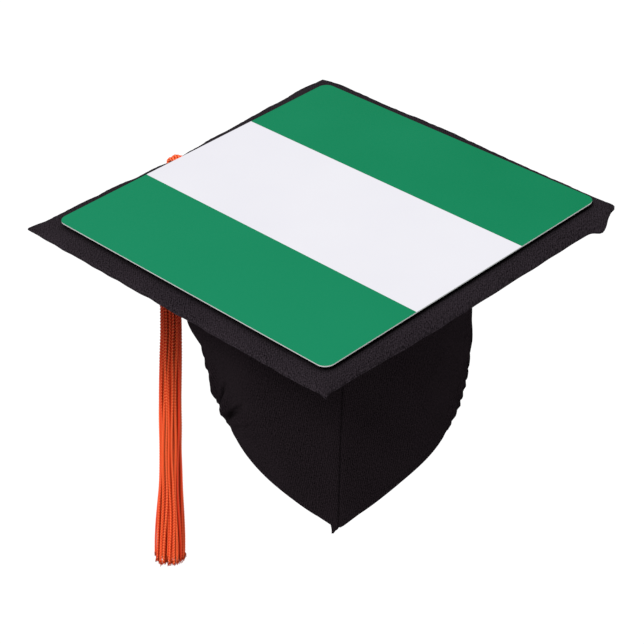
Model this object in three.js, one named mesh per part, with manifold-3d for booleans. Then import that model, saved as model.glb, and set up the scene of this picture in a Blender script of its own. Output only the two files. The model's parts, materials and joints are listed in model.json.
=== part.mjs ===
// Graduation cap: a square mortarboard on a soft crown, with a card topper and a corded tassel.
// Millimetres, +Z up. The origin is the middle of the head opening, level with the hem at the
// sides and back. The wearer faces -Y. One corner of the board points forward, one to each side.

import * as THREE from 'three';
import { mergeVertices } from 'three/addons/utils/BufferGeometryUtils.js';
import Module from 'manifold-3d';

const wasm = await Module();
wasm.setup();

// ---------- driving dimensions ----------

const GAP = 0.3; // clearance kept between neighbouring curved or cut pieces

const CARD_SIDE = 228.6;
const CARD_THICKNESS = 0.75;
const CARD_CORNER_RADIUS = 6.35;

const BOARD_SIDE = 250; // outside of the fabric
const BOARD_CORNER_RADIUS = 1.5;
const BOARD_EDGE_ROUND = 2.5;
const CORE_SIDE = 241.3;
const CORE_THICKNESS = 3.25;
const PADDING_THICKNESS = 1.625;
const COVER_THICKNESS = 0.75;
const COVER_WALL = 1.4;

const CROWN_HEIGHT = 93; // hem at the sides to the underside of the board
const CROWN_FRONT_Y = -112;
const PEAK_DROP = 46; // how far the front point hangs below the hem at the sides
const HEM_RISE_END = 0.5; // share of the half outline over which the hem rises to the sides
const SIDE_SEAM = 0.5; // share of the half outline where front and back panels meet
const HEM_DRAW_IN = { '-1': 12, 1: 3, back: 7 }; // the elastic's pull at the left, the right and the back
const LEFT_HEM_LIFT = 12; // the soft crown rides up on its left side
const RIDGE_SHIFT_TOP = 8; // the front ridge leans a little: sideways place at the board
const RIDGE_SHIFT_PEAK = 1; // and at the point
const RIDGE_UPRIGHT = 0.25; // share of CROWN_HEIGHT below the board over which the ridge stands upright
const FABRIC_THICKNESS = 1;
const STIFFENER_INSET = FABRIC_THICKNESS + GAP;
const STIFFENER_THICKNESS = 0.8;
const LINING_INSET = STIFFENER_INSET + STIFFENER_THICKNESS + 2 * GAP;
const LINING_THICKNESS = 0.6;
const ELASTIC_HEIGHT = 10;
const ELASTIC_THICKNESS = 0.9;
const FACING_HEIGHT = 14;
const TIP_THICKNESS = 0.75;
const SEAT_MARGIN = 1.5; // the fabric that the crown is sewn to reaches this far outside it

const DOT_DIAMETER = 19;
const DOT_THICKNESS = 2.125;
const DOT_REACH = 125; // from the board's middle to each dot, along the diagonals

const BUTTON_DIAMETER = 17;
const BUTTON_BACK_THICKNESS = 1;
const BUTTON_CAP_HEIGHT = 2.6;
const SHANK_DIAMETER = 3;
const SHANK_HOLE = SHANK_DIAMETER + 2 * GAP;
const WASHER_DIAMETER = 16;
const WASHER_THICKNESS = 1;

const CORD_DIAMETER = 3;
const CORD_ANGLE = 140.6; // heading of the cord over the board, from +X towards +Y
const DROP_REACH = 128.5; // from the button to where the cord hangs down
const DROP_BEND_RADIUS = 4.5;
const DROP_LENGTH = 58.5; // hanging cord, from the bend to the tassel's head
const DROP_SPREAD = 4.4; // between the cord's two runs where they cross the edge
const TASSEL_LEAN = 7.4; // degrees, along the board's edge, towards the left corner
const HEAD_LENGTH = 13;
const HEAD_RADIUS = 6.5;
const BINDING_LENGTH = 14;
const BINDING_RADIUS = 6.4;
const FRINGE_LENGTH = 228.6;
const FRINGE_CORE_RADIUS = 4.6;
const FRINGE_TOP_RADIUS = 7;
const FRINGE_BOTTOM_RADIUS = 10;

// ---------- heights, stacked from the crown up ----------

const COVER_BOTTOM_Z = CROWN_HEIGHT;
const PADDING_BOTTOM_Z = COVER_BOTTOM_Z + COVER_THICKNESS;
const CORE_Z = PADDING_BOTTOM_Z + PADDING_THICKNESS;
const PADDING_TOP_Z = CORE_Z + CORE_THICKNESS;
const COVER_TOP_Z = PADDING_TOP_Z + PADDING_THICKNESS;
const BOARD_TOP_Z = COVER_TOP_Z + COVER_THICKNESS;
const BOARD_THICKNESS = BOARD_TOP_Z - COVER_BOTTOM_Z;
const CARD_Z = BOARD_TOP_Z + 2 * DOT_THICKNESS;

// ---------- materials ----------

function material(color, roughness, metalness = 0) {
  return new THREE.MeshStandardMaterial({ color, roughness, metalness });
}

const CARD_WHITE = material(0xeeeef3, 0.35);
const BLACK_TWILL = material(0x1b181a, 0.92);
const BLACK_LINING = material(0x1e1c20, 0.7);
const GREY_BOARD = material(0x8d877c, 0.9);
const WHITE_FOAM = material(0xe6e4dc, 0.95);
const STIFF_CANVAS = material(0xcfc8b6, 0.9);
const BLACK_ELASTIC = material(0x202022, 0.85);
const BLACK_HOOK = material(0x171717, 0.8);
const STEEL = material(0xb5b7ba, 0.35, 1);
const ORANGE_RAYON = material(0xd8501f, 0.55);

// ---------- solids ----------

function toManifold(geometry) {
  const bare = geometry.clone();
  bare.deleteAttribute('normal');
  bare.deleteAttribute('uv');
  const merged = mergeVertices(bare, 1e-5);
  const vertProperties = new Float32Array(merged.attributes.position.array);
  const triVerts = new Uint32Array(merged.index.array);
  return new wasm.Manifold(new wasm.Mesh({ numProp: 3, vertProperties, triVerts }));
}

function fromManifold(solid) {
  const mesh = solid.getMesh();
  const geometry = new THREE.BufferGeometry();
  geometry.setAttribute('position', new THREE.BufferAttribute(mesh.vertProperties, 3));
  geometry.setIndex(new THREE.BufferAttribute(mesh.triVerts, 1));
  return geometry;
}

function subtract(body, ...tools) {
  const cut = tools.reduce((solid, tool) => solid.subtract(toManifold(tool)), toManifold(body));
  return fromManifold(cut);
}

// A square with its corners on the axes and rounded by arcs.
function diamond(side, radius) {
  const shape = new THREE.Shape();
  const reach = (side / 2 - radius) * Math.SQRT2;
  for (let corner = 0; corner < 4; corner++) {
    const heading = corner * Math.PI / 2;
    const x = reach * Math.cos(heading);
    const y = reach * Math.sin(heading);
    shape.absarc(x, y, radius, heading - Math.PI / 4, heading + Math.PI / 4, false);
  }
  return shape;
}

function circlePath(diameter) {
  const path = new THREE.Path();
  path.absarc(0, 0, diameter / 2, 0, 2 * Math.PI, true);
  return path;
}

function sheet(shape, thickness, holeDiameter = 0) {
  if (holeDiameter > 0) shape.holes.push(circlePath(holeDiameter));
  return new THREE.ExtrudeGeometry(shape, { depth: thickness, bevelEnabled: false, curveSegments: 6 });
}

function disc(diameter, thickness, segments = 32) {
  const geometry = new THREE.CylinderGeometry(diameter / 2, diameter / 2, thickness, segments);
  geometry.rotateX(Math.PI / 2);
  geometry.translate(0, 0, thickness / 2);
  return geometry;
}

// A turned solid: profile points are [radius, z], from the bottom of the axis to its top,
// or a closed loop away from the axis.
function turned(profile, segments = 24) {
  const points = profile.map(([radius, z]) => new THREE.Vector2(radius, z));
  const geometry = new THREE.LatheGeometry(points, segments);
  geometry.rotateX(Math.PI / 2);
  return geometry;
}

function cordSection() {
  const shape = new THREE.Shape();
  const sides = 8;
  for (let side = 0; side < sides; side++) {
    const angle = 2 * Math.PI * side / sides;
    const x = CORD_DIAMETER / 2 * Math.cos(angle);
    const y = CORD_DIAMETER / 2 * Math.sin(angle);
    if (side === 0) shape.moveTo(x, y);
    else shape.lineTo(x, y);
  }
  shape.closePath();
  return shape;
}

function cordAlong(points, steps) {
  const places = points.map((point) => new THREE.Vector3(...point));
  const route = new THREE.CatmullRomCurve3(places, false, 'centripetal');
  return new THREE.ExtrudeGeometry(cordSection(), { steps, extrudePath: route, bevelEnabled: false });
}

// ---------- the crown's surface ----------

// Half of the crown's plan outline, from the front ridge round the right side to the back.
const RIGHT_OUTLINE = [
  [0, CROWN_FRONT_Y], [9, -109], [34, -96], [60, -76], [78, -48],
  [86, -12], [81, 28], [61, 61], [31, 81], [0, 88],
];

const outlineCurve = new THREE.CatmullRomCurve3(
  [...RIGHT_OUTLINE, ...RIGHT_OUTLINE.slice(1, -1).reverse().map(([x, y]) => [-x, y])]
    .map(([x, y]) => new THREE.Vector3(x, y, 0)),
  true,
  'centripetal',
);

const { lerp, smoothstep, degToRad } = THREE.MathUtils;

// The hem's height at a share of the way from the front (0) to the back (1).
function hemHeight(side, share) {
  const rise = Math.min(share / HEM_RISE_END, 1);
  const besideTheEar = smoothstep(share, 0.15, 0.45) * (1 - smoothstep(share, 0.6, 0.95));
  const lift = side < 0 ? LEFT_HEM_LIFT * besideTheEar : 0;
  return lift - PEAK_DROP * (1 - rise) * (1 - 0.12 * Math.sin(Math.PI * rise));
}

// A point of the crown: share runs from the front (0) to the back (1) on the right side (1) or
// the left side (-1), z is its height, and inset is how deep it lies below the fabric's outside.
function crownPoint(side, share, z, inset) {
  const place = share / 2;
  const point = outlineCurve.getPointAt(place);
  const along = outlineCurve.getTangentAt(place);
  const inward = new THREE.Vector3(-along.y, along.x, 0);
  const pull = lerp(HEM_DRAW_IN[side], HEM_DRAW_IN.back, smoothstep(share, 0.55, 1));
  const depth = 1 - z / CROWN_HEIGHT;
  const drawIn = pull * smoothstep(share, 0.12, 0.5) * depth ** 2;
  point.addScaledVector(inward, inset + drawIn);
  const peakDepth = 1 + PEAK_DROP / CROWN_HEIGHT;
  const leaning = Math.max(depth - RIDGE_UPRIGHT, 0) / (peakDepth - RIDGE_UPRIGHT);
  const shift = lerp(RIDGE_SHIFT_TOP, RIDGE_SHIFT_PEAK, leaning) * (1 - smoothstep(share, 0, 0.4));
  return [side * point.x + shift, point.y, z];
}

// A closed curved sheet between two shares of the half outline. low and high give its lower and
// upper edge at a share. seamGap is left open at each end, towards the neighbouring sheet.
function crownSheet({ side, from, to, low, high, inset, thickness, columns, rows }) {
  const positions = [];
  const index = [];
  const at = (layer, column, row) => (layer * (columns + 1) + column) * (rows + 1) + row;
  for (let layer = 0; layer < 2; layer++) {
    for (let column = 0; column <= columns; column++) {
      const share = from + (to - from) * column / columns;
      for (let row = 0; row <= rows; row++) {
        const z = lerp(low(side, share), high(side, share), row / rows);
        positions.push(...crownPoint(side, share, z, inset + layer * thickness));
      }
    }
  }
  const quad = (a, b, c, d) => {
    if (side > 0) index.push(a, b, c, a, c, d);
    else index.push(a, c, b, a, d, c);
  };
  for (let column = 0; column < columns; column++) {
    const next = column + 1;
    for (let row = 0; row < rows; row++) {
      quad(at(0, column, row), at(0, next, row), at(0, next, row + 1), at(0, column, row + 1));
      quad(at(1, column, row), at(1, column, row + 1), at(1, next, row + 1), at(1, next, row));
    }
    quad(at(0, column, 0), at(1, column, 0), at(1, next, 0), at(0, next, 0));
    quad(at(0, column, rows), at(0, next, rows), at(1, next, rows), at(1, column, rows));
  }
  for (let row = 0; row < rows; row++) {
    quad(at(0, 0, row), at(0, 0, row + 1), at(1, 0, row + 1), at(1, 0, row));
    quad(at(0, columns, row), at(1, columns, row), at(1, columns, row + 1), at(0, columns, row + 1));
  }
  const geometry = new THREE.BufferGeometry();
  geometry.setAttribute('position', new THREE.Float32BufferAttribute(positions, 3));
  geometry.setIndex(index);
  return geometry;
}

const crownTop = () => CROWN_HEIGHT;
const underTip = () => CROWN_HEIGHT - TIP_THICKNESS - GAP;
const HALF_OUTLINE = outlineCurve.getLength() / 2;
const SEAM_SHARE = GAP / HALF_OUTLINE; // open on each side of a seam
const aboveHem = (rise) => (side, share) => hemHeight(side, share) + rise;
const SIDE_NAMES = { 1: 'right', '-1': 'left' };

// The crown's plan outline where it meets the board, inset from the fabric's outside.
function crownOutline(inset) {
  const points = [];
  const steps = 64;
  for (let step = 0; step < steps; step++) {
    const side = step < steps / 2 ? 1 : -1;
    const share = side > 0 ? 2 * step / steps : 2 - 2 * step / steps;
    const [x, y] = crownPoint(side, share, CROWN_HEIGHT, inset);
    points.push(new THREE.Vector2(x, y));
  }
  return points;
}

// ---------- sub-parts ----------

const cap = new THREE.Group();

function add(parent, name, geometry, meshMaterial, z = 0) {
  const mesh = new THREE.Mesh(geometry, meshMaterial);
  mesh.name = name;
  mesh.position.z = z;
  parent.add(mesh);
  return mesh;
}

function addTopper() {
  const card = sheet(diamond(CARD_SIDE, CARD_CORNER_RADIUS), CARD_THICKNESS);
  add(cap, 'topper_card', card, CARD_WHITE, CARD_Z);
}

function addFasteningDots() {
  for (let corner = 0; corner < 4; corner++) {
    const heading = corner * Math.PI / 2;
    const x = DOT_REACH * Math.cos(heading);
    const y = DOT_REACH * Math.sin(heading);
    const layers = [['loop_dot', BOARD_TOP_Z], ['hook_dot', BOARD_TOP_Z + DOT_THICKNESS]];
    for (const [name, z] of layers) {
      const dot = add(cap, `${name}_${corner + 1}`, disc(DOT_DIAMETER, DOT_THICKNESS), BLACK_HOOK, z);
      dot.position.x = x;
      dot.position.y = y;
    }
  }
}

function addBoard() {
  const paddingSide = BOARD_SIDE - 2 * (COVER_WALL + GAP);
  const plate = (side, thickness) => sheet(diamond(side, BOARD_CORNER_RADIUS), thickness, SHANK_HOLE);
  const core = plate(CORE_SIDE, CORE_THICKNESS);
  add(cap, 'board_core', core, GREY_BOARD, CORE_Z);
  add(cap, 'board_padding_top', plate(paddingSide, PADDING_THICKNESS), WHITE_FOAM, PADDING_TOP_Z);
  add(cap, 'board_padding_bottom', plate(paddingSide, PADDING_THICKNESS), WHITE_FOAM, PADDING_BOTTOM_Z);
  const underside = diamond(paddingSide, BOARD_CORNER_RADIUS);
  underside.holes.push(new THREE.Path(crownOutline(-SEAT_MARGIN - GAP).reverse()));
  add(cap, 'board_cover_bottom', sheet(underside, COVER_THICKNESS), BLACK_TWILL, COVER_BOTTOM_Z);
  const seat = sheet(new THREE.Shape(crownOutline(-SEAT_MARGIN)), COVER_THICKNESS, SHANK_HOLE);
  add(cap, 'crown_seat', seat, BLACK_TWILL, COVER_BOTTOM_Z);
}

// The top fabric: a lid with side walls, rounded at its edges, open underneath.
function addBoardCoverTop() {
  const outline = diamond(BOARD_SIDE, BOARD_CORNER_RADIUS + BOARD_EDGE_ROUND);
  const outside = new THREE.ExtrudeGeometry(outline, {
    depth: BOARD_THICKNESS - 2 * BOARD_EDGE_ROUND,
    bevelThickness: BOARD_EDGE_ROUND,
    bevelSize: BOARD_EDGE_ROUND,
    bevelOffset: -BOARD_EDGE_ROUND,
    bevelSegments: 3,
    curveSegments: 6,
  });
  outside.translate(0, 0, BOARD_EDGE_ROUND);
  const insideSide = BOARD_SIDE - 2 * COVER_WALL;
  const inside = sheet(diamond(insideSide, BOARD_CORNER_RADIUS), BOARD_THICKNESS);
  inside.translate(0, 0, -COVER_THICKNESS);
  const shankHole = disc(SHANK_HOLE, 2 * BOARD_THICKNESS);
  add(cap, 'board_cover_top', subtract(outside, inside, shankHole), BLACK_TWILL, COVER_BOTTOM_Z);
}

function addButton() {
  const backZ = BOARD_TOP_Z;
  const capZ = backZ + BUTTON_BACK_THICKNESS;
  const radius = BUTTON_DIAMETER / 2;
  const dome = turned([
    [0, 0], [radius - 0.4, 0], [radius, 0.5], [radius - 0.6, 1.3],
    [radius - 2.2, 2], [radius - 4.6, 2.4], [0, BUTTON_CAP_HEIGHT],
  ], 32);
  add(cap, 'button_cap', dome, BLACK_TWILL, capZ);
  add(cap, 'button_back', disc(BUTTON_DIAMETER - 1, BUTTON_BACK_THICKNESS), STEEL, backZ);
  const washerZ = CROWN_HEIGHT - TIP_THICKNESS - WASHER_THICKNESS;
  add(cap, 'button_washer', disc(WASHER_DIAMETER, WASHER_THICKNESS), STEEL, washerZ);
  const shankLength = backZ - washerZ - WASHER_THICKNESS;
  add(cap, 'button_shank', disc(SHANK_DIAMETER, shankLength, 16), STEEL, washerZ + WASHER_THICKNESS);
}

function addCrownTip() {
  const tip = sheet(new THREE.Shape(crownOutline(STIFFENER_INSET)), TIP_THICKNESS, SHANK_HOLE);
  add(cap, 'crown_tip', tip, BLACK_LINING, CROWN_HEIGHT - TIP_THICKNESS);
}

function addCrownPanels() {
  for (const side of [-1, 1]) {
    const shell = (name, meshMaterial, sizes) => {
      add(cap, `${name}_${SIDE_NAMES[side]}`, crownSheet({ side, ...sizes }), meshMaterial);
    };
    const front = { from: SEAM_SHARE, to: SIDE_SEAM - SEAM_SHARE, columns: 12, rows: 6 };
    const back = { from: SIDE_SEAM + SEAM_SHARE, to: 1 - SEAM_SHARE, columns: 12, rows: 6 };
    const fabric = { low: hemHeight, high: crownTop, inset: 0, thickness: FABRIC_THICKNESS };
    shell('crown_front', BLACK_TWILL, { ...front, ...fabric });
    shell('crown_back', BLACK_TWILL, { ...back, ...fabric });
    const stiff = { low: aboveHem(2), high: underTip, inset: STIFFENER_INSET, thickness: STIFFENER_THICKNESS };
    shell('front_stiffener', STIFF_CANVAS, { ...front, ...stiff, columns: 10, rows: 4 });
    const lining = { inset: LINING_INSET, thickness: LINING_THICKNESS };
    const whole = { from: SEAM_SHARE, to: 1 - SEAM_SHARE, columns: 22, rows: 4 };
    shell('crown_lining', BLACK_LINING, { ...whole, ...lining, low: aboveHem(1), high: underTip });
  }
}

// The elastic runs through the back hem from one side seam to the other.
function addElastic() {
  for (const side of [-1, 1]) {
    const elastic = crownSheet({
      side,
      from: SIDE_SEAM + SEAM_SHARE,
      to: 1 - SEAM_SHARE,
      low: aboveHem(1),
      high: aboveHem(1 + ELASTIC_HEIGHT),
      inset: STIFFENER_INSET,
      thickness: ELASTIC_THICKNESS,
      columns: 12,
      rows: 1,
    });
    add(cap, `elastic_band_${SIDE_NAMES[side]}`, elastic, BLACK_ELASTIC);
  }
}

// A tape that finishes the front edge on the inside.
function addFrontFacing() {
  for (const side of [-1, 1]) {
    const facing = crownSheet({
      side,
      from: SEAM_SHARE,
      to: SIDE_SEAM,
      low: aboveHem(0.5),
      high: aboveHem(FACING_HEIGHT),
      inset: LINING_INSET + LINING_THICKNESS + GAP,
      thickness: LINING_THICKNESS,
      columns: 10,
      rows: 1,
    });
    add(cap, `hem_facing_${SIDE_NAMES[side]}`, facing, BLACK_TWILL);
  }
}

// ---------- the tassel ----------

// The cord over the board, in its own frame: +X points away from the button, across the edge.
function addCordLoop(loop) {
  const clearance = 0.2;
  const z = BOARD_TOP_Z + CORD_DIAMETER / 2 + clearance;
  const round = (BUTTON_DIAMETER + CORD_DIAMETER) / 2 + GAP;
  const halfSpread = DROP_SPREAD / 2;
  const bendStart = DROP_REACH - DROP_BEND_RADIUS;
  const run = [
    [95, halfSpread], [70, halfSpread], [45, halfSpread + 0.6],
    [24, halfSpread + 3.2], [11, round - 1.6],
  ];
  const bend = [80, 60, 40, 20].map((degrees) => {
    const angle = degToRad(degrees);
    return [bendStart + DROP_BEND_RADIUS * Math.sin(angle), z - DROP_BEND_RADIUS * (1 - Math.cos(angle))];
  });
  const half = [
    [DROP_REACH, halfSpread, z - DROP_BEND_RADIUS],
    ...bend.map(([x, height]) => [x, halfSpread, height]),
    [bendStart, halfSpread, z],
    ...run.map(([x, y]) => [x, y, z]),
    [0, round, z],
  ];
  const turn = [135, 180, 225].map((degrees) => {
    const angle = degToRad(degrees);
    return [round * Math.cos(angle), round * Math.sin(angle), z];
  });
  const back = half.map(([x, y, height]) => [x, -y, height]).reverse();
  add(loop, 'cord_loop', cordAlong([...half, ...turn, ...back], 72), ORANGE_RAYON);
}

// What hangs from the edge, in a frame with its origin where the cord turns down and +Z up the cord.
function addHangingTassel(drop) {
  const halfSpread = DROP_SPREAD / 2;
  for (const side of [1, -1]) {
    const route = [
      [0, side * halfSpread, -2 * GAP],
      [0, side * halfSpread, -DROP_LENGTH / 2],
      [0, side * (CORD_DIAMETER / 2 + GAP), -DROP_LENGTH],
    ];
    add(drop, side > 0 ? 'cord_drop_1' : 'cord_drop_2', cordAlong(route, 8), ORANGE_RAYON);
  }
  const headTop = -DROP_LENGTH - GAP;
  const headBottom = headTop - HEAD_LENGTH;
  const domeCentre = headTop - HEAD_RADIUS;
  const dome = [0, 18, 36, 54, 72, 90].map((degrees) => {
    const angle = degToRad(degrees);
    return [HEAD_RADIUS * Math.cos(angle), domeCentre + HEAD_RADIUS * Math.sin(angle)];
  });
  const neck = [[0, headBottom], [HEAD_RADIUS - 1.5, headBottom], [HEAD_RADIUS - 0.4, headBottom + 3]];
  const head = turned([...neck, ...dome.slice(0, -1), [0, headTop]]);
  add(drop, 'tassel_head', head, ORANGE_RAYON);
  const bindingTop = headBottom - GAP;
  const bindingBottom = bindingTop - BINDING_LENGTH;
  const inside = FRINGE_CORE_RADIUS + GAP;
  const binding = turned([
    [inside, bindingBottom], [BINDING_RADIUS - 0.4, bindingBottom], [BINDING_RADIUS, bindingBottom + 1],
    [BINDING_RADIUS, bindingTop - 1], [BINDING_RADIUS - 0.4, bindingTop], [inside, bindingTop],
    [inside, bindingBottom],
  ]);
  add(drop, 'tassel_binding', binding, ORANGE_RAYON);
  const skirtTop = bindingBottom - GAP;
  const fringe = turned([
    [0, skirtTop - FRINGE_LENGTH], [FRINGE_BOTTOM_RADIUS, skirtTop - FRINGE_LENGTH],
    [FRINGE_BOTTOM_RADIUS - 1.5, skirtTop - 0.7 * FRINGE_LENGTH],
    [FRINGE_TOP_RADIUS, skirtTop - 0.3 * FRINGE_LENGTH],
    [FRINGE_TOP_RADIUS, skirtTop - 8], [FRINGE_CORE_RADIUS, skirtTop],
    [FRINGE_CORE_RADIUS, bindingTop], [0, bindingTop],
  ], 16);
  add(drop, 'tassel_fringe', fringe, ORANGE_RAYON);
}

function addTassel() {
  const heading = degToRad(CORD_ANGLE);
  const loop = new THREE.Group();
  loop.rotation.z = heading;
  cap.add(loop);
  addCordLoop(loop);

  const drop = new THREE.Group();
  const bendZ = BOARD_TOP_Z + CORD_DIAMETER / 2 + 0.2 - DROP_BEND_RADIUS;
  drop.position.set(DROP_REACH * Math.cos(heading), DROP_REACH * Math.sin(heading), bendZ);
  const edgeNormal = new THREE.Vector3(-1, 1, 0).normalize();
  const lean = new THREE.Quaternion().setFromAxisAngle(edgeNormal, degToRad(TASSEL_LEAN));
  const turn = new THREE.Quaternion().setFromAxisAngle(new THREE.Vector3(0, 0, 1), heading);
  drop.quaternion.multiplyQuaternions(lean, turn);
  cap.add(drop);
  addHangingTassel(drop);
}

addTopper();
addFasteningDots();
addBoard();
addBoardCoverTop();
addButton();
addCrownTip();
addCrownPanels();
addElastic();
addFrontFacing();
addTassel();

export default cap;
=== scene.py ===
"""Graduation cap: the looks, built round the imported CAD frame. Metres, the frame's own axes."""
import json
import math

import bpy
import numpy as np
from mathutils import Matrix, Vector


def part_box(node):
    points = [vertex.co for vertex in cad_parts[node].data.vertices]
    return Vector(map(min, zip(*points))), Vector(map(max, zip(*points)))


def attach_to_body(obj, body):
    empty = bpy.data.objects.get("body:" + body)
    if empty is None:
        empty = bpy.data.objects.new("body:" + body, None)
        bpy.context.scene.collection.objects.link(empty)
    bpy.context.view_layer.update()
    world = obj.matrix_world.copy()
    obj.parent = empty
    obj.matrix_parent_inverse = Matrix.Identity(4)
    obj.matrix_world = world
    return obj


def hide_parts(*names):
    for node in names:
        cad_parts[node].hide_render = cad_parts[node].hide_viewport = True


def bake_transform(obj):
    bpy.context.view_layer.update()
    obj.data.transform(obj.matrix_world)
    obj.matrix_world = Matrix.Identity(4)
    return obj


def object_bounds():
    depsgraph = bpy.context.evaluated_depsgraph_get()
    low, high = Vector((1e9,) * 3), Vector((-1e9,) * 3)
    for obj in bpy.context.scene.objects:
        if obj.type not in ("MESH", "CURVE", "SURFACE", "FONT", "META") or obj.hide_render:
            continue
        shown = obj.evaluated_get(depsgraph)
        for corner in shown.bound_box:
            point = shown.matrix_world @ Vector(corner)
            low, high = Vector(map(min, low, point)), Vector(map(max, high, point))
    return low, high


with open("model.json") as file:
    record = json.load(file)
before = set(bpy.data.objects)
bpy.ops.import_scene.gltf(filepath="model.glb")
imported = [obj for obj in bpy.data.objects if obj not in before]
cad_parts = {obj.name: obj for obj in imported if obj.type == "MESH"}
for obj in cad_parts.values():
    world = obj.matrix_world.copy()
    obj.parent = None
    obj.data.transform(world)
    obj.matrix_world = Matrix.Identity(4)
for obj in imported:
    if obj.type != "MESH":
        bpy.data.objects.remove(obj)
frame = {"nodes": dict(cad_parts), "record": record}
cad_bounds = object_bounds()

MM = 0.001


# ---------- places read from the frame ----------

def node_box(node):
    low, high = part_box(node)
    return np.array(low), np.array(high)


def new_object(name, data):
    made = bpy.data.objects.new(name, data)
    bpy.context.collection.objects.link(made)
    return made


def joint(name):
    return next(j for j in frame["record"]["behaviour"]["joints"] if j["name"] == name)


CARD_TOP = node_box("topper_card")[1][2]
BOARD_LOW, BOARD_HIGH = node_box("board_cover_top")
CORE_LOW, CORE_HIGH = node_box("board_core")
BUTTON_LOW, BUTTON_HIGH = node_box("button_cap")
BOARD_TOP = BOARD_HIGH[2]
BOARD_BOTTOM = BOARD_LOW[2]
BOARD_HALF = 125 * MM  # half the board's side, to the outside of the fabric
CARD_HALF = 114.3 * MM  # half the card's side

CORD_DIAMETER = 3 * MM
HEAD_RADIUS = 6.5 * MM
UP = np.array([0, 0, 1.0])
SWING = np.array(joint("tassel_swing")["pos_m"])  # on the outer side of the hanging cord
SWAY = np.array(joint("tassel_sway")["pos_m"])  # at the middle of the tassel's round head
OUT = SWING * (1, 1, 0) / np.linalg.norm(SWING * (1, 1, 0))  # from the button over the edge
PIVOT = SWING - OUT * CORD_DIAMETER / 2  # on the cord's centreline
DOWN = (SWAY - PIVOT) / np.linalg.norm(SWAY - PIVOT)  # the way the tassel hangs
HEAD_TOP = SWAY - DOWN * HEAD_RADIUS
DROP_LENGTH = float(np.linalg.norm(HEAD_TOP - PIVOT))


# ---------- camera ----------

CAMERA_AZIMUTH = math.radians(1.92)
CAMERA_ELEVATION = math.radians(34.68)
CAMERA_ROLL = math.radians(-3.18)
CAMERA_DISTANCE = 1.1639
CAMERA_RIGHT = -0.0060
CAMERA_UP = -0.0670
CAMERA_LENS = 108.7  # mm, on a sensor 36 mm wide


def make_camera():
    back = Matrix.Rotation(CAMERA_AZIMUTH, 4, "Z") @ Matrix.Rotation(math.pi / 2 - CAMERA_ELEVATION, 4, "X")
    place = Vector((0, 0, CARD_TOP)) + back @ Vector((CAMERA_RIGHT, CAMERA_UP, CAMERA_DISTANCE))
    camera = new_object("camera", bpy.data.cameras.new("camera"))
    camera.data.lens = CAMERA_LENS
    camera.data.clip_start = 0.05
    camera.matrix_world = Matrix.Translation(place) @ back @ Matrix.Rotation(CAMERA_ROLL, 4, "Z")
    bpy.context.scene.camera = camera


make_camera()


# ---------- materials ----------

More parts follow.
